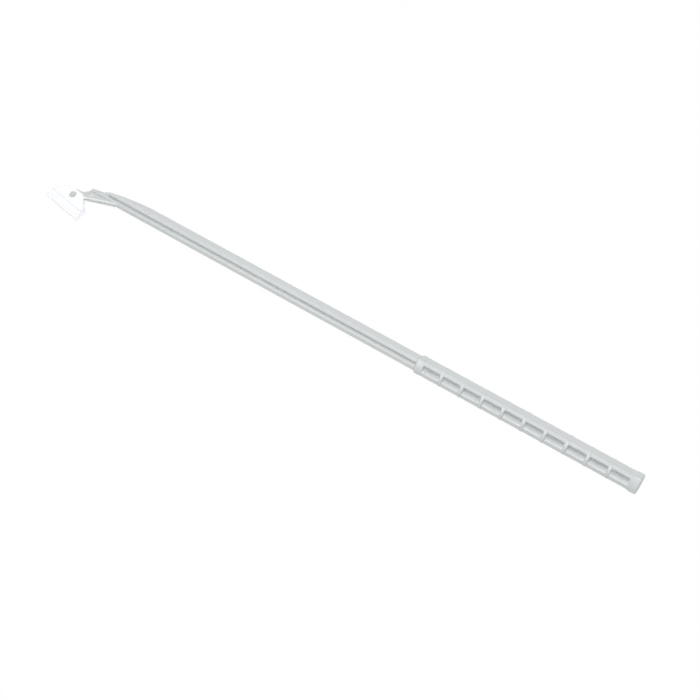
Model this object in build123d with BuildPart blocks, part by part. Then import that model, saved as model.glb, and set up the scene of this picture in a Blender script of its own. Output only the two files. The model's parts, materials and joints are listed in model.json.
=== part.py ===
"""Cell scraper with a swivelling blade, built as its two mouldings.

The handle is one rigid moulding: a ribbed grip with a collar and an end
block, an I-beam shaft, and a tang that leaves the shaft corner-wise and
carries a round pad with the swivel peg.  The blade is one soft moulding: a
forked holder that snaps over the peg and thins to a straight scraping edge.

Frame: millimetres, origin at the middle of the grip's end face, +X along the
handle towards the blade, +Z up with the scraper lying on a bench.
"""

import os

from build123d import *

os.makedirs("parts", exist_ok=True)

# ---------------------------------------------------------------- lying pose
REST_ROLL = 32.0  # turn of the flanges about X when the scraper lies down
TANG_ROLL = 40.0  # slant of the tang's plane below the flange planes
TAPER_ROLL = 30.0  # slant of the cuts that taper the shaft's end

# --------------------------------------------------------------------- shaft
SHAFT_WIDTH = 5.15  # across the flanges, at the middle of their bowed edges
SHAFT_HEIGHT = 4.65  # over both flanges
SHAFT_BOW = 0.45  # the flange edges fall back this much at top and bottom
SHAFT_CORNER = 0.3
GROOVE_MOUTH = 1.75
GROOVE_FLOOR = 0.65  # narrower than the mouth, for draft
GROOVE_LIP = 0.35  # rounding of the flanges' inner edges
GROOVE_RISE = 0.33  # grooves sit this far above the shaft's middle
SHAFT_WEB = 2.75
SHAFT_END = 235.6  # tip of the lower flange, from the end face
WEB_SETBACK = 7.7  # the web stops this far short of the tip
TIP_LEVEL = -0.65  # beyond the web, the lower flange reaches up to here
UPPER_TAPER_LENGTH = 31.5  # the upper flange curves in this far from the tip
UPPER_TAPER_DEPTH = -3.17
UPPER_TAPER_RADIUS = 70.0
LOWER_TAPER_LENGTH = 13.9
LOWER_TAPER_DEPTH = -1.47
LOWER_TAPER_RADIUS = 41.0

# ---------------------------------------------------------------------- grip
GRIP_LENGTH = 87.65
GRIP_WIDTH = 5.85
GRIP_HEIGHT = 5.65
GRIP_BOW = 0.6
GRIP_CORNER = 0.3
RIB_COUNT = 9
RIB_PITCH = 8.25
RIB_THICKNESS = 1.25
FIRST_RIB = 11.2  # from the end face to the middle of the first rib
POCKET_MOUTH = 2.5
POCKET_FLOOR = 1.05  # narrower than the mouth, for draft
POCKET_END_DRAFT = 0.2  # each end leans in by this much
POCKET_RISE = 0.4  # pockets sit this far above the grip's middle
POCKET_WEB = 2.1
POCKET_CORNER = 0.3
POCKET_LEAD = 0.3  # the mouths' long edges open out by this much, at 45 degrees
MOUTH_SINK = 0.15  # the mouths lie this far inside the bowed sides' crest
CROWN_LENGTH = 1.25  # the ribs' outer rounds, proud of the flange edges
CROWN_WIDTH = 6.4
CROWN_HEIGHT = 5.7
CROWN_BOW = 0.7
CROWN_CORNER = 0.35
CROWN_EDGE = 0.3
COLLAR_LENGTH = 2.5
COLLAR_WIDTH = 6.15
COLLAR_HEIGHT = 5.95
COLLAR_BOW = 0.7
COLLAR_CORNER = 0.7
COLLAR_EDGE = 0.45
BLOCK_LENGTH = 2.2
BLOCK_FLARE = 1.6  # length over which the bar swells into the end block
BLOCK_WIDTH = 6.3
BLOCK_HEIGHT = 6.35
BLOCK_BOW = 0.7
BLOCK_CORNER = 0.7
BLOCK_EDGE = 0.7

# ---------------------------------------------------------------------- tang
TANG_THICKNESS = 1.2
TANG_SETBACK = 13.2  # the neck's front edge starts this far before the tip
TANG_ROOT_FRONT = 2.6  # reach of the front edge where it leaves the shaft
TANG_ROOT_BACK = 1.9  # buried in the lower flange
TANG_ANGLE = 17.0  # front edge against the shaft
TANG_RUN = 14.2
RIM_WIDTH = 0.8
RIM_THICKNESS = 2.0
RIM_GAP = 5.35  # the rim stops this far from the peg's axis
PEG_OFFSET = 4.8  # peg's axis beyond the shaft's tip
PEG_REACH = 7.7
PEG_RADIUS = 1.42
PEG_RECESS = 0.15  # peg ends lie this far inside the blade's faces
PEG_CHAMFER = 0.25
PAD_RADIUS = 3.0
SHOULDER_OFFSET = 2.2  # where the neck's back edge meets the pad
SHOULDER_REACH = 4.45
PAD_CORNER_OFFSET = 5.5  # end of the pad's straight back edge
PAD_CORNER_REACH = 4.7
MARK_SETBACK = 1.3
MARK_REACH = 3.9
MARK_RADIUS = 0.85
MARK_DEPTH = 0.12

# --------------------------------------------------------------------- blade
SWIVEL = 80.0  # blade turned this far from straight ahead
EDGE_LENGTH = 18.3
EDGE_THICKNESS = 0.5
EDGE_DROP = 6.75  # peg axis to scraping edge
HOLDER_THICKNESS = 2.9
HOLDER_ROOT = 3.3  # peg axis to the holder's lower side
ROOT_HALF = 8.1
HIP_HALF = 8.5
HIP_DROP = 1.9
TOP_HALF = 3.25
TOP_RISE = 2.55
HOLDER_CORNER = 0.5
HOLDER_EDGE = 0.15  # rounding of the holder's faces
LIP_STEP = 0.2  # each face of the lip lies this far below the holder's
SLOT_CLEARANCE = 0.1  # each side of the tang
SLOT_FLOOR_CLEARANCE = 0.1
PEG_CLEARANCE = 0.05
OVERLAP = 0.3  # buried length where two features join

# -------------------------------------------------------------------- frames
shaft_frame = Plane.XY.rotated((REST_ROLL, 0, 0))
tang_frame = Plane.XY.rotated((REST_ROLL - TANG_ROLL, 0, 0))
taper_frame = Plane.XY.rotated((REST_ROLL - TAPER_ROLL, 0, 0))
web_end = SHAFT_END - WEB_SETBACK
tang_root = SHAFT_END - TANG_SETBACK
peg_station = SHAFT_END + PEG_OFFSET
shoulder_station = SHAFT_END + SHOULDER_OFFSET
pad_corner_station = SHAFT_END + PAD_CORNER_OFFSET
mark_station = SHAFT_END - MARK_SETBACK
mouth_low = GROOVE_RISE - GROOVE_MOUTH / 2
mouth_high = GROOVE_RISE + GROOVE_MOUTH / 2
floor_low = GROOVE_RISE - GROOVE_FLOOR / 2
floor_high = GROOVE_RISE + GROOVE_FLOOR / 2
side_frame = Plane(origin=(0, 0, 0), x_dir=(1, 0, 0), z_dir=-shaft_frame.y_dir)


def station(distance):
    """Cross-section plane of the handle at a distance from its end face."""
    return Plane(
        origin=(distance, 0, 0), x_dir=shaft_frame.y_dir, z_dir=Vector(1, 0, 0)
    )


def pocket_mouth(side):
    """Plane on the first pocket's mouth, on the side given by its sign."""
    middle = (
        FIRST_RIB - RIB_PITCH / 2,
        side * (GRIP_WIDTH / 2 - MOUTH_SINK),
        POCKET_RISE,
    )
    return Plane(
        origin=shaft_frame.from_local_coords(middle),
        x_dir=(1, 0, 0),
        z_dir=shaft_frame.y_dir * side,
    )


def bowed_bar(section, width, height, bow, corner):
    """Draw a bar's section: flat above and below, bowed at front and back."""
    bow_radius = (height**2 / 4 + bow**2) / (2 * bow)
    Rectangle(width, height)
    for side in (1, -1):
        with Locations((side * (width / 2 - bow_radius), 0)):
            Circle(bow_radius, mode=Mode.INTERSECT)
    fillet(section.vertices(), corner)


# -------------------------------------------------------------------- handle
with BuildPart() as handle:
    # I-beam shaft: a bowed bar with a drafted groove down each side
    with BuildSketch(station(GRIP_LENGTH - OVERLAP)) as shaft_section:
        bowed_bar(
            shaft_section, SHAFT_WIDTH, SHAFT_HEIGHT, SHAFT_BOW, SHAFT_CORNER
        )
        for side in (1, -1):
            with BuildLine():
                Polyline(
                    (side * SHAFT_WEB / 2, floor_low),
                    (side * SHAFT_WIDTH / 2, mouth_low),
                    (side * SHAFT_WIDTH / 2, mouth_high),
                    (side * SHAFT_WEB / 2, floor_high),
                    close=True,
                )
            make_face(mode=Mode.SUBTRACT)
        groove_lips = shaft_section.vertices().filter_by(
            lambda corner: SHAFT_WEB / 2 + OVERLAP
            < abs(corner.X)
            and abs(corner.Y - GROOVE_RISE) < GROOVE_MOUTH / 2 + GROOVE_LIP
        )
        fillet(groove_lips, GROOVE_LIP)
    extrude(amount=SHAFT_END - GRIP_LENGTH + OVERLAP)

    # the shaft's end: the upper flange curves in first, the lower one later
    for start, depth, radius, level, part_kept in (
        (
            SHAFT_END - UPPER_TAPER_LENGTH,
            UPPER_TAPER_DEPTH,
            UPPER_TAPER_RADIUS,
            floor_high,
            Keep.TOP,
        ),
        (
            SHAFT_END - LOWER_TAPER_LENGTH,
            LOWER_TAPER_DEPTH,
            LOWER_TAPER_RADIUS,
            floor_low,
            Keep.BOTTOM,
        ),
    ):
        with BuildPart(mode=Mode.SUBTRACT):
            with BuildSketch(taper_frame):
                with BuildLine():
                    curve = JernArc((start, depth), (1, 0), radius, arc_size=45)
                    Polyline(
                        curve @ 1,
                        ((curve @ 1).X, depth * 4),
                        (start, depth * 4),
                        curve @ 0,
                    )
                make_face()
            extrude(amount=SHAFT_HEIGHT, both=True)
            split(bisect_by=shaft_frame.offset(level), keep=part_kept)

    # the web stops between them on a slope
    with BuildSketch(side_frame):
        with BuildLine():
            Polyline(
                (web_end, floor_high),
                (web_end + floor_high - TIP_LEVEL, TIP_LEVEL),
                (SHAFT_END + OVERLAP, TIP_LEVEL),
                (SHAFT_END + OVERLAP, floor_high),
                close=True,
            )
        make_face()
    extrude(amount=SHAFT_WIDTH, both=True, mode=Mode.SUBTRACT)

    # tang: a flat neck that leaves the shaft's corner and ends in a round pad
    with BuildSketch(tang_frame):
        with BuildLine():
            front = PolarLine((tang_root, TANG_ROOT_FRONT), TANG_RUN, TANG_ANGLE)
            Polyline(
                front @ 1,
                (peg_station, PEG_REACH),
                (pad_corner_station, PAD_CORNER_REACH),
                (shoulder_station, SHOULDER_REACH),
                (SHAFT_END, TANG_ROOT_BACK + 2 * OVERLAP),
                (SHAFT_END - OVERLAP, TANG_ROOT_BACK),
                (tang_root, TANG_ROOT_BACK),
                front @ 0,
            )
        make_face()
        with Locations((peg_station, PEG_REACH)):
            Circle(PAD_RADIUS)
    extrude(amount=TANG_THICKNESS / 2, both=True)

    # rim along the neck's front edge, short of the blade's sweep
    with BuildSketch(tang_frame):
        with BuildLine():
            outer = PolarLine((tang_root, TANG_ROOT_FRONT), TANG_RUN, TANG_ANGLE)
            inner = PolarLine(
                (tang_root, TANG_ROOT_FRONT - RIM_WIDTH), TANG_RUN, TANG_ANGLE
            )
            Line(outer @ 0, inner @ 0)
            Line(outer @ 1, inner @ 1)
        make_face()
        with Locations((peg_station, PEG_REACH)):
            Circle(RIM_GAP, mode=Mode.SUBTRACT)
    extrude(amount=RIM_THICKNESS / 2, both=True)

    # round moulding mark on the neck's upper face
    with BuildSketch(tang_frame.offset(TANG_THICKNESS / 2)):
        with Locations((mark_station, MARK_REACH)):
            Circle(MARK_RADIUS)
    extrude(amount=-MARK_DEPTH, mode=Mode.SUBTRACT)

    # swivel peg, square to the pad and standing out of both its faces
    with BuildPart():
        with BuildSketch(tang_frame):
            with Locations((peg_station, PEG_REACH)):
                Circle(PEG_RADIUS)
        peg = extrude(amount=HOLDER_THICKNESS / 2 - PEG_RECESS, both=True)
        chamfer(peg.edges().filter_by(GeomType.CIRCLE), PEG_CHAMFER)

    # grip: a plain bar that swells into the end block
    with BuildSketch(station(BLOCK_LENGTH + BLOCK_FLARE - OVERLAP)) as grip_section:
        bowed_bar(grip_section, GRIP_WIDTH, GRIP_HEIGHT, GRIP_BOW, GRIP_CORNER)
    extrude(amount=GRIP_LENGTH - BLOCK_LENGTH - BLOCK_FLARE)
    with BuildPart() as block:
        with BuildSketch(station(BLOCK_LENGTH)) as block_section:
            bowed_bar(
                block_section, BLOCK_WIDTH, BLOCK_HEIGHT, BLOCK_BOW, BLOCK_CORNER
            )
        with BuildSketch(station(BLOCK_LENGTH + BLOCK_FLARE)) as flare_section:
            bowed_bar(flare_section, GRIP_WIDTH, GRIP_HEIGHT, GRIP_BOW, GRIP_CORNER)
        loft()
        extrude(to_extrude=block_section.sketch, amount=-BLOCK_LENGTH)
        fillet(block.faces().sort_by(Axis.X)[0].edges(), BLOCK_EDGE)

    # collar where the grip meets the shaft
    with BuildPart() as collar:
        with BuildSketch(station(GRIP_LENGTH - COLLAR_LENGTH)) as collar_section:
            bowed_bar(
                collar_section,
                COLLAR_WIDTH,
                COLLAR_HEIGHT,
                COLLAR_BOW,
                COLLAR_CORNER,
            )
        extrude(amount=COLLAR_LENGTH)
        fillet(collar.faces().filter_by(Axis.X).edges(), COLLAR_EDGE)

    # rib crowns: a thin rounded disc proud of the bar at every rib
    for index in range(RIB_COUNT):
        crown_start = FIRST_RIB + index * RIB_PITCH - CROWN_LENGTH / 2
        with BuildPart() as crown:
            with BuildSketch(station(crown_start)) as crown_section:
                bowed_bar(
                    crown_section,
                    CROWN_WIDTH,
                    CROWN_HEIGHT,
                    CROWN_BOW,
                    CROWN_CORNER,
                )
            extrude(amount=CROWN_LENGTH)
            fillet(crown.faces().filter_by(Axis.X).edges(), CROWN_EDGE)

    # drafted pockets between the ribs, down both sides of the web
    pocket_length = RIB_PITCH - RIB_THICKNESS
    pocket_depth = (GRIP_WIDTH - POCKET_WEB) / 2 - MOUTH_SINK
    for side in (1, -1):
        with BuildPart(mode=Mode.PRIVATE) as pocket:
            with BuildSketch(pocket_mouth(side)):
                RectangleRounded(pocket_length, POCKET_MOUTH, POCKET_CORNER)
            with BuildSketch(pocket_mouth(side).offset(-pocket_depth)):
                RectangleRounded(
                    pocket_length - 2 * POCKET_END_DRAFT, POCKET_FLOOR, POCKET_CORNER
                )
            loft()
            with BuildSketch(pocket_mouth(side).offset(-POCKET_LEAD)):
                RectangleRounded(pocket_length, POCKET_MOUTH, POCKET_CORNER)
            with BuildSketch(pocket_mouth(side)) as lead:
                RectangleRounded(
                    pocket_length, POCKET_MOUTH + 2 * POCKET_LEAD, POCKET_CORNER
                )
            loft()
            extrude(
                to_extrude=lead.sketch, amount=COLLAR_WIDTH - GRIP_WIDTH + MOUTH_SINK
            )
        add(
            [
                pocket.part.moved(Location((index * RIB_PITCH, 0, 0)))
                for index in range(RIB_COUNT + 1)
            ],
            mode=Mode.SUBTRACT,
        )

# --------------------------------------------------------------------- blade
blade_frame = Plane(
    origin=tang_frame.from_local_coords((peg_station, PEG_REACH, 0)),
    x_dir=tang_frame.from_local_coords(
        Vector(1, 0, 0).rotate(Axis.Z, 90 + SWIVEL)
    ),
    z_dir=tang_frame.z_dir,
)
root_plane = Plane(
    origin=blade_frame.from_local_coords((0, OVERLAP - HOLDER_ROOT, 0)),
    x_dir=blade_frame.x_dir,
    z_dir=-blade_frame.y_dir,
)

with BuildPart() as blade:
    # forked holder: the hexagonal body first
    with BuildSketch(blade_frame) as holder:
        with BuildLine():
            Polyline(
                (-ROOT_HALF, -HOLDER_ROOT),
                (ROOT_HALF, -HOLDER_ROOT),
                (HIP_HALF, -HIP_DROP),
                (TOP_HALF, TOP_RISE),
                (-TOP_HALF, TOP_RISE),
                (-HIP_HALF, -HIP_DROP),
                close=True,
            )
        make_face()
        upper_corners = holder.vertices().group_by(Axis.Y)[1:]
        for corners in upper_corners:
            fillet(corners, HOLDER_CORNER)
    body = extrude(amount=HOLDER_THICKNESS / 2, both=True)
    fillet(body.faces().filter_by(blade_frame).edges(), HOLDER_EDGE)

    # lip: thins and widens from the holder to the scraping edge
    with BuildSketch(root_plane):
        Rectangle(2 * ROOT_HALF, HOLDER_THICKNESS - 2 * LIP_STEP)
    with BuildSketch(root_plane.offset(EDGE_DROP - HOLDER_ROOT + OVERLAP)):
        Rectangle(EDGE_LENGTH, EDGE_THICKNESS)
    loft()

    # slot across the holder for the tang, closed at the lip's root
    slot_floor = -PAD_RADIUS - SLOT_FLOOR_CLEARANCE
    with BuildSketch(blade_frame):
        with Locations((0, slot_floor)):
            Rectangle(
                EDGE_LENGTH, EDGE_DROP * 2, align=(Align.CENTER, Align.MIN)
            )
    extrude(
        amount=TANG_THICKNESS / 2 + SLOT_CLEARANCE, both=True, mode=Mode.SUBTRACT
    )

    # holes for the peg through both walls
    with BuildSketch(blade_frame):
        Circle(PEG_RADIUS + PEG_CLEARANCE)
    extrude(amount=HOLDER_THICKNESS, both=True, mode=Mode.SUBTRACT)

handle.part.label = "handle"
blade.part.label = "blade"
export_step(handle.part, "parts/handle.step")
export_step(blade.part, "parts/blade.step")
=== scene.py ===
"""Studio scene of a cell scraper with a swivelling blade.

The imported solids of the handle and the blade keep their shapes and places.
This script gives them their finishes, a satin moulded plastic and a soft
white elastomer, closes both ends of the blade's slot with a small web, and
sets up the floor, the light and the camera.

Everything is in metres, in the same frame as the solids: +X runs along the
handle towards the blade, +Z is up and the scraper lies on the floor.  What
the finishes measure, and the sizes of the handle and the blade that they
follow, are in millimetres.
"""

from __future__ import annotations

import json
import logging
import math
from dataclasses import dataclass
from enum import Enum

import bpy
from mathutils import Matrix, Vector


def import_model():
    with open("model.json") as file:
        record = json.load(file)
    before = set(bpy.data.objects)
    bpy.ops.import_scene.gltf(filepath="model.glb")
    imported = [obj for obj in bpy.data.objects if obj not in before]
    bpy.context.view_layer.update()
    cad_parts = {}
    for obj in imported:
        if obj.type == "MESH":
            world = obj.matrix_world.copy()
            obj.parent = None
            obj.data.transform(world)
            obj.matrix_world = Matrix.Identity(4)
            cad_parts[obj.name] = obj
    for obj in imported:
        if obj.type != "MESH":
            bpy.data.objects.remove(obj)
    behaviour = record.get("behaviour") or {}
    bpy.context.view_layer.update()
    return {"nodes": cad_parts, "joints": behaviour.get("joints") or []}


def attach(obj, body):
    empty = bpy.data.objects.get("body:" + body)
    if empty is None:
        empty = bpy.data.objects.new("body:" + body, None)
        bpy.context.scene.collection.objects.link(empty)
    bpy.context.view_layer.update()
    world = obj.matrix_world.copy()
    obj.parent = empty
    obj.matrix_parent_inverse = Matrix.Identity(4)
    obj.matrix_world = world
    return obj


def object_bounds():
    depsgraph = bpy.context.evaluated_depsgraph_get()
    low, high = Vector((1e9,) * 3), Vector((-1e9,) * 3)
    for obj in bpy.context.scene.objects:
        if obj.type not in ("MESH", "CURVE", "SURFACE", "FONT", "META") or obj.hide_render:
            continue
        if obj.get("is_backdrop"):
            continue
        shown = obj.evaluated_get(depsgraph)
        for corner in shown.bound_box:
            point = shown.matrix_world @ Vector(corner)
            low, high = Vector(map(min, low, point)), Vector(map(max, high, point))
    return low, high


log = logging.getLogger("cell_scraper")

MM = 0.001
MM_TO_A_METRE = 1000.0
QUARTER_TURN = 90.0
BLADE_JOINT = "blade_swivel"
BLADE_BODY = "scraper_blade"
NOISE_LOW = 0.3
NOISE_HIGH = 0.7
BLACK = (0.0, 0.0, 0.0)
WHITE = (1.0, 1.0, 1.0)
WHITE_LEVEL = 1.0

ALONG_THE_HANDLE = Vector((1.0, 0.0, 0.0))

Triple = tuple[float, float, float]


class Solid(Enum):
    """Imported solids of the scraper, by the names of their nodes."""

    HANDLE = "handle"
    BLADE = "blade"


class Fade(Enum):
    """Lengths over which a mask fades, in millimetres."""

    CRISP = 0.1
    SHARP = 0.2
    SOFT = 0.3
    BROAD = 0.5
    WIDE = 0.8


class Operation(Enum):
    """Operations of a Math node."""

    ADD = "ADD"
    SUBTRACT = "SUBTRACT"
    MULTIPLY = "MULTIPLY"
    ABSOLUTE = "ABSOLUTE"
    ROOT = "SQRT"
    LARGER = "MAXIMUM"
    SMALLER = "MINIMUM"
    BACK_AND_FORTH = "PINGPONG"


# --------------------------------------------------------------- node trees
class Wire:
    """One output socket of a node tree, with arithmetic on its values."""

    def __init__(self, board: Board, socket: bpy.types.NodeSocket) -> None:
        """Wrap an output socket of a tree under construction."""
        self.board = board
        self.socket = socket

    def math(self, operation: Operation, *others: Wire | float) -> Wire:
        """Put the value, and any others, through a Math node."""
        return self.board.math(operation, self, *others)

    def __add__(self, other: Wire | float) -> Wire:
        """Return this value plus another."""
        return self.math(Operation.ADD, other)

    def __sub__(self, other: Wire | float) -> Wire:
        """Return this value minus another."""
        return self.math(Operation.SUBTRACT, other)

    def __mul__(self, other: Wire | float) -> Wire:
        """Return this value times another."""
        return self.math(Operation.MULTIPLY, other)

    def __rsub__(self, other: float) -> Wire:
        """Return a number minus this value."""
        return self.board.math(Operation.SUBTRACT, other, self)

    def __abs__(self) -> Wire:
        """Return this value without its sign."""
        return self.math(Operation.ABSOLUTE)

    __radd__ = __add__
    __rmul__ = __mul__

    def larger(self, other: Wire | float) -> Wire:
        """Return the larger of this value and another."""
        return self.math(Operation.LARGER, other)

    def smaller(self, other: Wire | float) -> Wire:
        """Return the smaller of this value and another."""
        return self.math(Operation.SMALLER, other)

    def mixed(self, other: Wire, share: float) -> Wire:
        """Return this value with a share of another mixed in."""
        return self * (1.0 - share) + other * share

    def between(self, low: float, high: float) -> Wire:
        """Spread a value of 0 to 1 from a low to a high level."""
        return self * (high - low) + low

    def rounded(self, tilt: float, bow: float) -> Wire:
        """Return the relief of a side at this level, tilted and bowed."""
        return self * -tilt - self * self * bow

    def ramp(self, start: float, end: float) -> Wire:
        """Rise smoothly from 0 to 1 between two levels of the value.

        Args:
            start: The level at which the result leaves 0.
            end: The level at which the result reaches 1.

        Returns:
            The smooth mask.
        """
        settings = {"interpolation_type": "SMOOTHSTEP"}
        inputs = {"Value": self, "From Min": start, "From Max": end}
        return self.board.add("ShaderNodeMapRange", settings, inputs)

    def above(self, level: float, fade: Fade) -> Wire:
        """Mark the values above a level."""
        return self.ramp(level - fade.value / 2, level + fade.value / 2)

    def below(self, level: float, fade: Fade) -> Wire:
        """Mark the values below a level."""
        return self.ramp(level + fade.value / 2, level - fade.value / 2)

    def near(self, centre: float, half: float, fade: Fade) -> Wire:
        """Mark the values no further than a half length from a centre."""
        return abs(self - centre).below(half, fade)


@dataclass(frozen=True)
class Pattern:
    """A noise on a piece's own coordinates."""

    scale: float
    detail: float
    stretch: Triple = (1.0, 1.0, 1.0)


@dataclass(frozen=True)
class Sheen:
    """How rough a finish is in the middle, and by how much it varies."""

    level: float
    spread: float

    def over(self, share: Wire) -> Wire:
        """Vary the roughness with a value of 0 to 1."""
        half = self.spread / 2
        return share.between(self.level - half, self.level + half)


class Board:
    """A node tree under construction."""

    def __init__(self, tree: bpy.types.NodeTree) -> None:
        """Empty a tree and start on it."""
        self.tree = tree
        tree.nodes.clear()

    def node(
        self,
        kind: str,
        settings: dict[str, object] | None = None,
        inputs: dict[str | int, object] | None = None,
    ) -> bpy.types.Node:
        """Add any node.

        Args:
            kind: The node's type name.
            settings: The node's own properties, set before its sockets.
            inputs: Values, wires or sockets for the inputs, by name or place.

        Returns:
            The new node.
        """
        made = self.tree.nodes.new(kind)
        for name, value in (settings or {}).items():
            setattr(made, name, value)
        for key, value in (inputs or {}).items():
            if isinstance(value, Wire):
                self.tree.links.new(value.socket, made.inputs[key])
            else:
                made.inputs[key].default_value = value
        return made

    def add(
        self,
        kind: str,
        settings: dict[str, object] | None = None,
        inputs: dict[str | int, object] | None = None,
        output: str | int = 0,
    ) -> Wire:
        """Add any node and return the output of the given name or place."""
        return Wire(self, self.node(kind, settings, inputs).outputs[output])

    def math(self, operation: Operation, *values: Wire | float) -> Wire:
        """Add a Math node on values and wires."""
        settings = {"operation": operation.value}
        return self.add("ShaderNodeMath", settings, dict(enumerate(values)))

    def noise(self, pattern: Pattern) -> Wire:
        """Add a noise on the object's own coordinates.

        Args:
            pattern: Cells to a metre, octaves and stretch of the noise.

        Returns:
            The noise, mostly between its usual low and high.
        """
        place = self.add("ShaderNodeTexCoord", output="Object")
        inputs = {"Vector": place, "Scale": pattern.stretch}
        place = self.add("ShaderNodeMapping", None, inputs)
        inputs = {"Vector": place, "Scale": pattern.scale, "Detail": pattern.detail}
        return self.add("ShaderNodeTexNoise", None, inputs)

    def cloud(self, pattern: Pattern) -> Wire:
        """Add a noise that uses the whole range of 0 to 1."""
        return self.noise(pattern).ramp(NOISE_LOW, NOISE_HIGH)

    def along(self, origin: Vector, direction: Vector) -> Wire:
        """Measure how far along a direction each point of the piece lies.

        Args:
            origin: The point, in metres, where the distance is 0.
            direction: Unit vector to measure along.

        Returns:
            The distance, in millimetres.
        """
        place = self.add("ShaderNodeTexCoord", output="Object")
        settings = {"operation": "DOT_PRODUCT"}
        inputs = {0: place, 1: tuple(direction)}
        reach = self.add("ShaderNodeVectorMath", settings, inputs, "Value")
        return (reach - origin.dot(direction)) * MM_TO_A_METRE

    def blend(
        self, amount: Wire, first: Wire | Triple, second: Wire | Triple
    ) -> Wire:
        """Mix two colours or two directions.

        Args:
            amount: Share of the second one, from 0 to 1.
            first: What holds where the amount is 0.
            second: What holds where the amount is 1.

        Returns:
            The mixed colour or direction.
        """
        inputs: dict[str | int, object] = {"Fac": amount}
        for name, value in (("Color1", first), ("Color2", second)):
            inputs[name] = value if isinstance(value, Wire) else (*value, 1.0)
        return self.add("ShaderNodeMixRGB", {"blend_type": "MIX"}, inputs)

    def relief(self, height: Wire, under: Wire | None = None) -> Wire:
        """Tilt the surface as a relief would.

        Args:
            height: Height of the relief, in millimetres.
            under: The surface's direction before this relief.

        Returns:
            The surface's direction.
        """
        inputs: dict[str | int, object] = {"Height": height, "Distance": MM}
        if under is not None:
            inputs["Normal"] = under
        return self.add("ShaderNodeBump", None, inputs)

    def shown(self) -> Wire:
        """Mark what is seen, straight on, mirrored or through something clear.

        Returns:
            A mask of 1 on such rays, and 0 on those that only carry light.
        """
        path = self.node("ShaderNodeLightPath")
        rays = ("Is Camera Ray", "Is Glossy Ray", "Is Transmission Ray")
        straight, mirrored, through = (Wire(self, path.outputs[ray]) for ray in rays)
        return straight.larger(mirrored).larger(through)


class SurfaceBoard(Board):
    """The node tree of a new material."""

    def __init__(self, name: str) -> None:
        """Start an empty material.

        Args:
            name: The material's name.
        """
        self.material = bpy.data.materials.new(name)
        self.material.use_nodes = True
        super().__init__(self.material.node_tree)

    def close(self, shader: Wire) -> bpy.types.Material:
        """Put the finished shader on the surface and return the material."""
        self.node("ShaderNodeOutputMaterial", None, {"Surface": shader})
        return self.material

    def moulding(
        self, colour: Wire, roughness: Wire, specular: float, painted_glow: Wire, normal: Wire
    ) -> bpy.types.Material:
        """Finish the material of a moulding.

        Args:
            colour: Its colour.
            roughness: Its roughness.
            specular: How strongly it mirrors.
            painted_glow: Painted light that glows on it, too faint to light anything else.
            normal: The direction of its surface.

        Returns:
            The finished material.
        """
        self.material.cycles.emission_sampling = "NONE"
        inputs = {
            "Base Color": colour,
            "Roughness": roughness,
            "Specular IOR Level": specular,
            # Painted glow: emission that stands in for light on the surface.
            "Emission Color": painted_glow,
            "Emission Strength": 1.0,
            "Normal": normal,
        }
        return self.close(self.add("ShaderNodeBsdfPrincipled", None, inputs))


class GeometryBoard(Board):
    """A geometry node tree that turns a path into one plain mesh."""

    def __init__(self, name: str) -> None:
        """Start a tree that takes a path and gives a geometry.

        Args:
            name: Name of the tree and of the piece that it makes.
        """
        super().__init__(bpy.data.node_groups.new(name, "GeometryNodeTree"))
        self.name = name
        for way in ("INPUT", "OUTPUT"):
            self.tree.interface.new_socket(
                "Geometry", in_out=way, socket_type="NodeSocketGeometry"
            )
        self.entry = self.node("NodeGroupInput")
        self.values: dict[str, float | int] = {}

    @property
    def path(self) -> Wire:
        """Return the path that the tree is given."""
        return Wire(self, self.entry.outputs["Geometry"])

    def size(self, name: str, value: float | int) -> Wire:
        """Add a named input.

        Args:
            name: Name of the input.
            value: Its value for this piece.

        Returns:
            The input as a wire.
        """
        kind = "NodeSocketInt" if isinstance(value, int) else "NodeSocketFloat"
        self.tree.interface.new_socket(name, in_out="INPUT", socket_type=kind)
        self.values[name] = value
        return Wire(self, self.entry.outputs[name])

    def vector(self, x: Wire | float = 0.0, y: Wire | float = 0.0) -> Wire:
        """Join two values into a vector that has no height."""
        return self.add("ShaderNodeCombineXYZ", None, {"X": x, "Y": y})

    def mesh(
        self, geometry: Wire, material: bpy.types.Material, path: list[Vector]
    ) -> bpy.types.Object:
        """Finish the tree and turn its result into a plain mesh object.

        Args:
            geometry: The geometry that the tree has made.
            material: The material of every face.
            path: Points of the path that the tree is given.

        Returns:
            The new object, at the origin, with no modifier.
        """
        whole = self.add("GeometryNodeRealizeInstances", None, {"Geometry": geometry})
        inputs = {"Geometry": whole, "Material": material}
        dressed = self.add("GeometryNodeSetMaterial", None, inputs)
        self.node("NodeGroupOutput", None, {0: dressed})
        line = bpy.data.meshes.new(self.name)
        line.from_pydata(path, [(i, i + 1) for i in range(len(path) - 1)], [])
        carrier = bpy.data.objects.new(self.name, line)
        bpy.context.collection.objects.link(carrier)
        modifier = carrier.modifiers.new("form", "NODES")
        modifier.node_group = self.tree
        for item in self.tree.interface.items_tree:
            if item.in_out == "INPUT" and item.name in self.values:
                modifier[item.identifier] = self.values[item.name]
        graph = bpy.context.evaluated_depsgraph_get()
        plain = bpy.data.meshes.new_from_object(carrier.evaluated_get(graph))
        carrier.modifiers.clear()
        carrier.data = plain
        plain.name = self.name
        if plain.materials[0] is None:
            plain.materials.pop(index=0)
        return carrier


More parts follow.
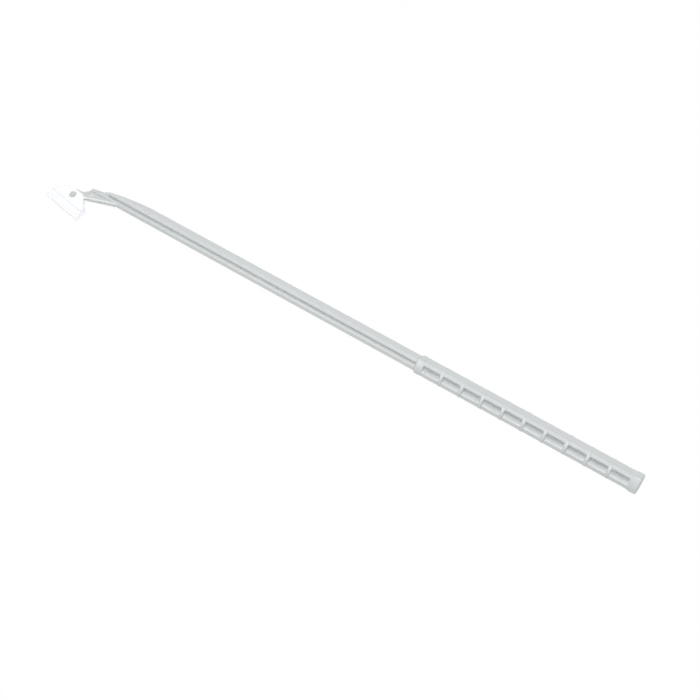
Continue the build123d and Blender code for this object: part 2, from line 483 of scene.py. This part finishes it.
# ------------------------------------------------- places that finishes follow
@dataclass(frozen=True)
class Swivel:
    """The peg, and how far the blade is turned on it from straight ahead."""

    centre: Vector
    axis: Vector
    blade_turn: float = 80.0

    @classmethod
    def of_joint(cls, joint: dict[str, object]) -> Swivel:
        """Take the peg's place and axis from the joint of the frame."""
        return cls(Vector(joint["pos_m"]), Vector(joint["axis"]).normalized())

    @property
    def ahead(self) -> Vector:
        """Return the direction of the shaft, in the plane of the tang."""
        return ALONG_THE_HANDLE

    @property
    def aside(self) -> Vector:
        """Return the direction square to the shaft, in the plane of the tang."""
        return self.axis.cross(self.ahead)

    def turn(self, degrees: float, direction: Vector) -> Vector:
        """Turn a direction about the peg."""
        return Matrix.Rotation(math.radians(degrees), 3, self.axis) @ direction

    def point(self, ahead: float, aside: float) -> Vector:
        """Place a point in the tang's plane, in millimetres from the peg."""
        return self.centre + (self.ahead * ahead + self.aside * aside) * MM

    @property
    def blade_matrix(self) -> Matrix:
        """Move and turn from the blade's own axes to the frame's.

        Returns:
            The matrix, whose first axis runs along the scraping edge and
            whose third one is the peg's.
        """
        along = self.turn(QUARTER_TURN + self.blade_turn, self.ahead)
        across = self.axis.cross(along)
        turn = Matrix((along, across, self.axis)).transposed().to_4x4()
        return Matrix.Translation(self.centre) @ turn


@dataclass(frozen=True)
class Neck:
    """The tang's plate and rim, in millimetres from the peg."""

    swivel: Swivel
    rim_start: tuple[float, float] = (-18.0, -5.1)
    rim_angle: float = 17.0
    rim_width: float = 0.85
    rim_tilt: float = 0.40
    rim_bow: float = 0.12
    shaft_end: float = -4.65
    flange_edge: float = -5.0
    pad_start: float = -3.4
    mark: tuple[float, float] = (-6.1, -3.8)
    mark_radius: float = 0.85
    mark_share: float = 0.8

    def ahead(self, board: Board) -> Wire:
        """Measure ahead from the peg."""
        return board.along(self.swivel.centre, self.swivel.ahead)

    def from_rim(self, board: Board) -> Wire:
        """Measure inwards from the outer edge of the rim."""
        inward = self.swivel.turn(self.rim_angle - QUARTER_TURN, self.swivel.ahead)
        return board.along(self.swivel.point(*self.rim_start), inward)

    def beside_shaft(self, board: Board) -> Wire:
        """Mark what lies clear of the shaft's lower flange.

        Args:
            board: The tree to measure in.

        Returns:
            The mask.
        """
        aside = board.along(self.swivel.centre, self.swivel.aside)
        clear = aside.above(self.flange_edge, Fade.SHARP)
        return clear.larger(self.ahead(board).above(self.shaft_end, Fade.SOFT))

    def round_mark(self, board: Board) -> Wire:
        """Mark the small round sink of the mould.

        Args:
            board: The tree to measure in.

        Returns:
            The mask.
        """
        centre = self.swivel.point(*self.mark)
        ahead = board.along(centre, self.swivel.ahead)
        aside = board.along(centre, self.swivel.aside)
        distance = (ahead * ahead + aside * aside).math(Operation.ROOT)
        return distance.below(self.mark_radius, Fade.SOFT)

    def plate(self, board: Board) -> Wire:
        """Mark the thin plate between the rim and the shaft, and the pad, which get
        painted shade.

        Args:
            board: The tree to measure in.

        Returns:
            The mask, weak on the round mark.
        """
        inside = self.from_rim(board).above(self.rim_width, Fade.CRISP)
        pad = self.ahead(board).above(self.pad_start, Fade.BROAD)
        plate = (inside * self.beside_shaft(board)).larger(pad)
        return plate * (1.0 - self.round_mark(board) * self.mark_share)

    def painted_highlight_rim(self, board: Board) -> Wire:
        """Mark the rim, from its root on the shaft to the pad, for its painted highlight
        and relief.

        Args:
            board: The tree to measure in.

        Returns:
            The mask.
        """
        outside = self.from_rim(board).below(self.rim_width, Fade.CRISP)
        ahead = self.ahead(board)
        past_root = ahead.above(self.rim_start[0], Fade.WIDE)
        before_pad = ahead.below(self.pad_start, Fade.BROAD)
        return outside * self.beside_shaft(board) * past_root * before_pad

    def rim_relief(self, board: Board) -> Wire:
        """Round the rim's side: it faces up above and outwards below."""
        height = board.along(self.swivel.centre, self.swivel.axis)
        return height.rounded(self.rim_tilt, self.rim_bow)


@dataclass(frozen=True)
class Grip:
    """The ribbed length of the handle, in millimetres from its end face."""

    roll: float = 32.0
    length: float = 87.7
    first_rib: float = 11.2
    rib_pitch: float = 8.25
    rib_half: float = 0.675
    # How far past a rib the painted glow reaches, in millimetres.
    painted_glow_reach: float = 0.3
    pocket_rise: float = 0.4
    pocket_half: float = 1.25
    last_pocket: float = 86.4
    front: float = 2.65
    front_tilt: float = 0.2
    front_bow: float = 0.06
    block: float = 3.65
    block_share: float = 0.25
    collar: float = 84.85
    line_half: float = 0.15
    line_share: float = 0.6

    @property
    def lying(self) -> Matrix:
        """Turn from the handle's own axes to the frame's, as it lies."""
        return Matrix.Rotation(math.radians(self.roll), 3, "X")

    def station(self, board: Board) -> Wire:
        """Measure along the handle from its end face."""
        return board.along(Vector(), ALONG_THE_HANDLE)

    def depth(self, board: Board) -> Wire:
        """Measure from the middle towards either side."""
        return abs(board.along(Vector(), self.lying.col[1]))

    def height(self, board: Board) -> Wire:
        """Measure up from the middle of the pockets."""
        return board.along(Vector(), self.lying.col[2]) - self.pocket_rise

    def from_rib(self, board: Board) -> Wire:
        """Measure along the handle from the middle of the nearest rib."""
        ahead = self.station(board) - self.first_rib
        return ahead.math(Operation.BACK_AND_FORTH, self.rib_pitch / 2)

    def fronts(self, board: Board) -> Wire:
        """Mark the outer faces of the ribs, the collar and the end block.

        Args:
            board: The tree to measure in.

        Returns:
            The mask, weak on the end block.
        """
        station = self.station(board)
        ribs = self.from_rib(board).below(self.rib_half, Fade.CRISP)
        collar = station.above(self.collar, Fade.CRISP)
        past_block = station.above(self.block, Fade.CRISP)
        ribbed = ribs.larger(collar) * past_block
        block = (1.0 - past_block) * self.block_share
        outside = self.depth(board).above(self.front, Fade.CRISP)
        return (ribbed + block) * outside * station.below(self.length, Fade.CRISP)

    def front_relief(self, board: Board) -> Wire:
        """Round the fronts: they face up above and outwards below."""
        return self.height(board).rounded(self.front_tilt, self.front_bow)

    def painted_glow_beside_ribs(self, board: Board) -> Wire:
        """Mark the pockets' ends beside the ribs, which get a painted glow.

        Args:
            board: The tree to measure in.

        Returns:
            The mask.
        """
        inside = self.depth(board).below(self.front, Fade.BROAD)
        level = self.height(board).near(0.0, self.pocket_half, Fade.SHARP)
        beside = self.from_rib(board).below(self.rib_half + self.painted_glow_reach, Fade.SOFT)
        pockets = self.station(board).below(self.last_pocket, Fade.BROAD)
        return inside * level * beside * pockets

    def painted_collar_shadow_line(self, board: Board) -> Wire:
        """Mark the shaft's skin right beside the collar, where a painted shadow goes.

        Args:
            board: The tree to measure in.

        Returns:
            The mask, never at full strength.
        """
        beside = self.length + self.line_half
        line = self.station(board).near(beside, self.line_half, Fade.SHARP)
        return line * self.line_share


@dataclass(frozen=True)
class BladeOutline:
    """Lines of the blade, in millimetres from the peg on its own axes."""

    swivel: Swivel
    crease_drop: float = 3.3
    crease_half: float = 0.25
    edge_drop: float = 6.75
    top_rise: float = 2.55
    hip_half: float = 8.5
    hip_drop: float = 1.9
    top_half: float = 3.25
    holder_height: float = 1.45
    root_height: float = 1.25
    edge_height: float = 0.25
    skin: float = 0.155
    slot_half: float = 0.75
    slot_margin: float = 0.08
    slot_setback: float = 0.25
    slot_lift: float = 0.4
    edge_painted_shade_width: float = 0.3
    holder_painted_shade_width: float = 0.225
    holder_share: float = 0.7

    def axes(self) -> Matrix:
        """Return the blade's own axes, as columns."""
        return self.swivel.blade_matrix.to_3x3()

    def across(self, board: Board) -> Wire:
        """Measure from the peg away from the scraping edge."""
        return board.along(self.swivel.centre, self.axes().col[1])

    def from_flank(self, board: Board) -> Wire:
        """Measure inwards from the nearer slanting edge of the holder.

        Args:
            board: The tree to measure in.

        Returns:
            The distance, in millimetres.
        """
        along = abs(board.along(self.swivel.centre, self.axes().col[0]))
        rise = self.top_rise + self.hip_drop
        run = self.hip_half - self.top_half
        length = math.hypot(rise, run)
        outward = along * (rise / length) + self.across(board) * (run / length)
        return (self.hip_half * rise - self.hip_drop * run) / length - outward

    def in_slot(self, board: Board) -> Wire:
        """Mark the inside of the slot, above the hips.

        Args:
            board: The tree to measure in.

        Returns:
            The mask.
        """
        height = abs(board.along(self.swivel.centre, self.swivel.axis))
        level = height.below(self.slot_half + self.slot_margin, Fade.CRISP)
        inside = self.from_flank(board).above(self.slot_setback, Fade.SOFT)
        above = self.across(board).above(self.slot_lift - self.hip_drop, Fade.WIDE)
        return level * inside * above

    def sides(self, board: Board) -> Wire:
        """Mark the walls between the upper and the lower face, which get a painted glow.

        Args:
            board: The tree to measure in.

        Returns:
            The mask, which leaves the slot out.
        """
        height = abs(board.along(self.swivel.centre, self.swivel.axis))
        lip_length = self.edge_drop - self.crease_drop
        slope = (self.root_height - self.edge_height) / lip_length
        lip = (self.across(board) + self.crease_drop) * slope + self.root_height
        depth = lip.smaller(self.holder_height) - height
        return depth.above(self.skin, Fade.SHARP) * (1.0 - self.in_slot(board))

    def crease_painted_shade(self, board: Board) -> Wire:
        """Mark the line where the lip meets the holder, which gets painted shade."""
        return self.across(board).near(-self.crease_drop, self.crease_half, Fade.SOFT)

    def edge_painted_shade(self, board: Board) -> Wire:
        """Mark the outer edges, which get painted shade.

        Args:
            board: The tree to measure in.

        Returns:
            The mask, weaker on the holder.
        """
        across = self.across(board)
        edge = across.below(self.edge_painted_shade_width - self.edge_drop, Fade.SOFT)
        top = across.above(self.top_rise - self.holder_painted_shade_width, Fade.SHARP)
        flank = self.from_flank(board).below(self.holder_painted_shade_width, Fade.SHARP)
        holder = across.above(-self.crease_drop, Fade.CRISP)
        return edge.larger(top.larger(flank * holder) * self.holder_share)


# ----------------------------------------------------------------- finishes
@dataclass(frozen=True)
class MouldedPlastic:
    """Satin finish of the rigid grey moulding, straight from the mould."""

    name: str = "grey_moulded_plastic"
    light: Triple = (0.683, 0.701, 0.702)
    deep: Triple = (0.653, 0.672, 0.674)
    # Painted shade: the darker colour of the neck's thin plate and pad.
    plate_painted_shade: Triple = (0.562, 0.585, 0.583)
    # Painted highlight: the lighter colour of the tang's rim.
    painted_highlight_rim: Triple = (0.770, 0.788, 0.776)
    # Painted shadow: dark colour of the shaft right beside the collar.
    painted_collar_shadow: Triple = (0.400, 0.418, 0.420)
    # Painted glow: emission that lightens the pockets' ends beside the ribs.
    rib_painted_glow: Triple = (0.070, 0.076, 0.082)
    flow: Pattern = Pattern(scale=90.0, detail=3.0, stretch=(0.12, 1.0, 1.0))
    flow_share: float = 0.65
    cloud: Pattern = Pattern(scale=360.0, detail=4.0)
    grain: Pattern = Pattern(scale=5200.0, detail=2.0)
    grain_share: float = 0.4
    grain_depth: float = 0.003
    sheen: Sheen = Sheen(level=0.40, spread=0.12)
    specular: float = 0.5

    def material(self, neck: Neck, grip: Grip) -> bpy.types.Material:
        """Build the finish, with flow marks along the handle, a fine grain, and painted
        shade, highlight and glow.

        Args:
            neck: The thin plate at the handle's end, given painted shade, and its rim,
                given a painted highlight.
            grip: The ribbed length, with rounded fronts, a painted shadow by the collar
                and painted glow in the pockets.

        Returns:
            The material.
        """
        board = SurfaceBoard(self.name)
        cloud = board.cloud(self.cloud)
        grain = board.noise(self.grain)
        shade = cloud.mixed(board.cloud(self.flow), self.flow_share)
        colour = board.blend(shade, self.deep, self.light)
        # Painted shade: the neck's plate and pad are darkened, less so on the round mark.
        colour = board.blend(neck.plate(board), colour, self.plate_painted_shade)
        # Painted highlight: the rim is lightened.
        colour = board.blend(neck.painted_highlight_rim(board), colour, self.painted_highlight_rim)
        # Painted shadow: a dark line on the shaft beside the collar.
        colour = board.blend(grip.painted_collar_shadow_line(board), colour, self.painted_collar_shadow)
        plain = board.relief(grain * self.grain_depth)
        rounded = board.relief(neck.rim_relief(board), plain)
        normal = board.blend(neck.painted_highlight_rim(board), plain, rounded)
        rounded = board.relief(grip.front_relief(board), plain)
        normal = board.blend(grip.fronts(board), normal, rounded)
        return board.moulding(
            colour=colour,
            roughness=self.sheen.over(cloud.mixed(grain, self.grain_share)),
            specular=self.specular,
            # Painted glow: the pockets' ends beside the ribs emit light.
            painted_glow=board.blend(grip.painted_glow_beside_ribs(board), BLACK, self.rib_painted_glow),
            normal=normal,
        )


@dataclass(frozen=True)
class SoftElastomer:
    """Smooth finish of the white blade, with a faint painted glow, stronger on its sides.
    """

    name: str = "soft_white_elastomer"
    light: Triple = (0.927, 0.922, 0.938)
    deep: Triple = (0.917, 0.913, 0.930)
    # Painted shade: the darker colour of the crease between the lip and the holder.
    crease_painted_shade: Triple = (0.884, 0.896, 0.912)
    # Painted shade: the darker, warm colour of the blade's outer edges.
    edge_painted_shade: Triple = (0.850, 0.826, 0.800)
    # Painted glow: faint emission all over the blade, and more on its side walls.
    skin_painted_glow: Triple = (0.040, 0.040, 0.042)
    side_painted_glow: Triple = (0.250, 0.264, 0.288)
    cloud: Pattern = Pattern(scale=160.0, detail=3.0)
    ripple: Pattern = Pattern(scale=1400.0, detail=2.0)
    ripple_share: float = 0.5
    ripple_depth: float = 0.001
    sheen: Sheen = Sheen(level=0.45, spread=0.10)
    specular: float = 0.45

    def material(self, outline: BladeOutline) -> bpy.types.Material:
        """Build the finish, faintly clouded, with a painted glow on its sides.

        Args:
            outline: Where the blade's crease and edges run, for painted shade, and its
                sides, for painted glow.

        Returns:
            The material.
        """
        board = SurfaceBoard(self.name)
        cloud = board.cloud(self.cloud)
        ripple = board.noise(self.ripple)
        colour = board.blend(cloud, self.deep, self.light)
        # Painted shade: the crease is darkened.
        colour = board.blend(outline.crease_painted_shade(board), colour, self.crease_painted_shade)
        # Painted shade: the outer edges are darkened.
        colour = board.blend(outline.edge_painted_shade(board), colour, self.edge_painted_shade)
        return board.moulding(
            colour=colour,
            roughness=self.sheen.over(cloud.mixed(ripple, self.ripple_share)),
            specular=self.specular,
            # Painted glow: the blade emits light, more on its sides than elsewhere.
            painted_glow=board.blend(outline.sides(board), self.skin_painted_glow, self.side_painted_glow),
            normal=board.relief(ripple * self.ripple_depth),
        )


@dataclass(frozen=True)
class StudioPaper:
    """White floor that is seen as white and keeps a soft shadow."""

    name: str = "studio_paper"
    light: Triple = (0.86, 0.86, 0.86)
    deep: Triple = (0.84, 0.84, 0.84)
    fibre: Pattern = Pattern(scale=30.0, detail=2.0)
    own_white: float = 0.985

    def material(self) -> bpy.types.Material:
        """Build the finish.

        Returns:
            The material of the floor.
        """
        board = SurfaceBoard(self.name)
        colour = board.blend(board.noise(self.fibre), self.deep, self.light)
        paper = board.add("ShaderNodeBsdfDiffuse", None, {"Color": colour})
        inputs = {"Color": (*WHITE, 1.0), "Strength": WHITE_LEVEL}
        white = board.add("ShaderNodeEmission", None, inputs)
        inputs = {0: board.shown() * self.own_white, 1: paper, 2: white}
        return board.close(board.add("ShaderNodeMixShader", None, inputs))


# ---------------------------------------------------------------- the object
def dress(solid: bpy.types.Object, material: bpy.types.Material) -> None:
    """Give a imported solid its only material.

    Args:
        solid: The solid, which keeps its shape and place.
        material: Its finish.
    """
    solid.data.materials.clear()
    solid.data.materials.append(material)
    log.info("%s dressed as %s", solid.name, material.name)


@dataclass(frozen=True)
class Handle:
    """The grey moulding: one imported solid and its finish."""

    solid: bpy.types.Object
    neck: Neck
    grip: Grip = Grip()
    finish: MouldedPlastic = MouldedPlastic()

    def build(self) -> None:
        """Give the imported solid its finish."""
        dress(self.solid, self.finish.material(self.neck, self.grip))


@dataclass(frozen=True)
class SlotWebs:
    """Thin webs that close the holder's slot, in millimetres from the peg."""

    outline: BladeOutline
    floor: float = -3.2
    top: float = -0.9
    root: float = 0.4
    inset: float = 0.06
    thickness: float = 0.8
    ends: int = 2

    def path(self) -> list[Vector]:
        """Trace the outer face of one web, on the blade's own axes.

        Returns:
            Its corners from the slot's floor up, in metres from the peg.
        """
        shape = self.outline
        slant = (shape.hip_half - shape.top_half) / (shape.top_rise + shape.hip_drop)
        shoulder = shape.hip_half - slant * (self.top + shape.hip_drop)
        corners = (
            (shape.hip_half - self.root, self.floor),
            (shape.hip_half, -shape.hip_drop),
            (shoulder, self.top),
        )
        return [Vector((x - self.inset, y, 0.0)) * MM for x, y in corners]

    def build(self, material: bpy.types.Material) -> bpy.types.Object:
        """Sweep one web along its path, and turn it to both ends of the slot.

        Args:
            material: The blade's finish.

        Returns:
            One mesh with both webs.
        """
        board = GeometryBoard("slot_webs")
        width = board.size("Slot Width", 2 * self.outline.slot_half * MM)
        thickness = board.size("Web Thickness", self.thickness * MM)
        ends = board.size("Ends", self.ends)
        line = board.add("GeometryNodeMeshToCurve", None, {"Mesh": board.path})
        upright = {"mode": "Z_UP"}
        line = board.add("GeometryNodeSetCurveNormal", upright, {"Curve": line})
        inputs = {"Width": thickness, "Height": width}
        bar = board.add("GeometryNodeCurvePrimitiveQuadrilateral", None, inputs)
        inputs = {"Geometry": bar, "Translation": board.vector(thickness * -0.5)}
        bar = board.add("GeometryNodeTransform", None, inputs)
        inputs = {"Curve": line, "Profile Curve": bar, "Fill Caps": True}
        web = board.add("GeometryNodeCurveToMesh", None, inputs)
        inputs = {"Count": ends, "Offset": (0.0, 0.0, 0.0)}
        places = board.add("GeometryNodeMeshLine", None, inputs)
        half_turns = board.add("GeometryNodeInputIndex") * math.pi
        inputs = {
            "Points": places,
            "Instance": web,
            "Rotation": board.vector(0.0, half_turns),
        }
        webs = board.add("GeometryNodeInstanceOnPoints", None, inputs)
        piece = board.mesh(webs, material, self.path())
        piece.data.transform(self.outline.swivel.blade_matrix)
        log.info("%s: %d faces", piece.name, len(piece.data.polygons))
        return piece


@dataclass(frozen=True)
class Blade:
    """The white moulding that swivels on the handle's peg."""

    solid: bpy.types.Object
    outline: BladeOutline
    finish: SoftElastomer = SoftElastomer()

    def build(self) -> None:
        """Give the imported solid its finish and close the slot's ends."""
        material = self.finish.material(self.outline)
        dress(self.solid, material)
        webs = SlotWebs(self.outline).build(material)
        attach(webs, BLADE_BODY)


# ---------------------------------------------------------------- the studio
@dataclass(frozen=True)
class SoftBox:
    """A square lamp that points at a place on the object."""

    name: str
    place: Triple
    power: float
    aim: Triple = (0.12, 0.0, 0.0)
    side: float = 0.7
    colour: Triple = (1.0, 0.992, 0.972)

    def build(self) -> None:
        """Hang the lamp."""
        data = bpy.data.lights.new(self.name, "AREA")
        data.shape = "SQUARE"
        data.size = self.side
        data.energy = self.power
        data.color = self.colour
        lamp = bpy.data.objects.new(self.name, data)
        bpy.context.collection.objects.link(lamp)
        lamp.location = self.place
        sight = Vector(self.aim) - Vector(self.place)
        lamp.rotation_euler = sight.to_track_quat("-Z", "Y").to_euler()
        log.info("%s lamp: %.1f W", self.name, self.power)


@dataclass(frozen=True)
class Viewpoint:
    """Where the camera stands, how it looks and what lens it carries."""

    place: Triple = (-0.01921, 0.20968, 0.38135)
    sight: Triple = (0.28942, -0.44648, -0.84669)
    upward: Triple = (0.46323, -0.70874, 0.53208)
    lens: float = 64.487
    sensor: float = 36.0
    nearest: float = 0.01
    furthest: float = 20.0

    def build(self) -> None:
        """Set up the camera and make it the scene's."""
        data = bpy.data.cameras.new("camera")
        data.lens = self.lens
        data.sensor_width = self.sensor
        data.clip_start = self.nearest
        data.clip_end = self.furthest
        camera = bpy.data.objects.new("camera", data)
        bpy.context.collection.objects.link(camera)
        back = -Vector(self.sight).normalized()
        right = Vector(self.upward).cross(back).normalized()
        upward = back.cross(right)
        turn = Matrix((right, upward, back)).transposed().to_4x4()
        camera.matrix_world = Matrix.Translation(Vector(self.place)) @ turn
        bpy.context.scene.camera = camera
        log.info("camera with a lens of %.1f mm", self.lens)


@dataclass(frozen=True)
class Studio:
    """White floor, soft light from above and from both sides, and the camera."""

    paper: StudioPaper = StudioPaper()
    viewpoint: Viewpoint = Viewpoint()
    floor_side: float = 6.0
    sky: Triple = (0.90, 0.96, 1.0)
    sky_level: float = 0.31
    lamps: tuple[SoftBox, ...] = (
        SoftBox("overhead", place=(0.12, 0.0, 1.1), power=5.3),
        SoftBox("front", place=(0.12, 0.45, 1.0), power=4.2),
        SoftBox("back", place=(0.12, -0.5, 1.0), power=1.0),
    )

    def build(self) -> None:
        """Lay the floor, light the scene and set up the camera."""
        self.lay_floor()
        self.light_sky()
        for lamp in self.lamps:
            lamp.build()
        self.viewpoint.build()
        bpy.context.scene.view_settings.view_transform = "Standard"

    def lay_floor(self) -> None:
        """Lay the paper under the lowest point of the object."""
        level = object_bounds()[0].z
        half = self.floor_side / 2
        corners = ((-half, -half), (half, -half), (half, half), (-half, half))
        mesh = bpy.data.meshes.new("floor")
        mesh.from_pydata([(x, y, level) for x, y in corners], [], [(0, 1, 2, 3)])
        mesh.materials.append(self.paper.material())
        floor = bpy.data.objects.new("floor", mesh)
        bpy.context.collection.objects.link(floor)
        floor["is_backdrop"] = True
        log.info("floor laid at %.2f mm", level * MM_TO_A_METRE)

    def light_sky(self) -> None:
        """Light the scene evenly, and show white where the sky is seen."""
        world = bpy.data.worlds.new("sky")
        bpy.context.scene.world = world
        world.use_nodes = True
        board = Board(world.node_tree)
        sky, white = (
            board.add(
                "ShaderNodeBackground",
                None,
                {"Color": (*colour, 1.0), "Strength": level},
            )
            for colour, level in ((self.sky, self.sky_level), (WHITE, WHITE_LEVEL))
        )
        inputs = {0: board.shown(), 1: sky, 2: white}
        mixed = board.add("ShaderNodeMixShader", None, inputs)
        board.node("ShaderNodeOutputWorld", None, {"Surface": mixed})


def main() -> None:
    """Build the scene."""
    logging.basicConfig(level=logging.INFO, format="%(name)s: %(message)s")
    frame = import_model()
    joints = {joint["name"]: joint for joint in frame["joints"]}
    swivel = Swivel.of_joint(joints[BLADE_JOINT])
    Handle(frame["nodes"][Solid.HANDLE.value], Neck(swivel)).build()
    Blade(frame["nodes"][Solid.BLADE.value], BladeOutline(swivel)).build()
    Studio().build()
    log.info("scene built")


if __name__ == "__main__":
    main()
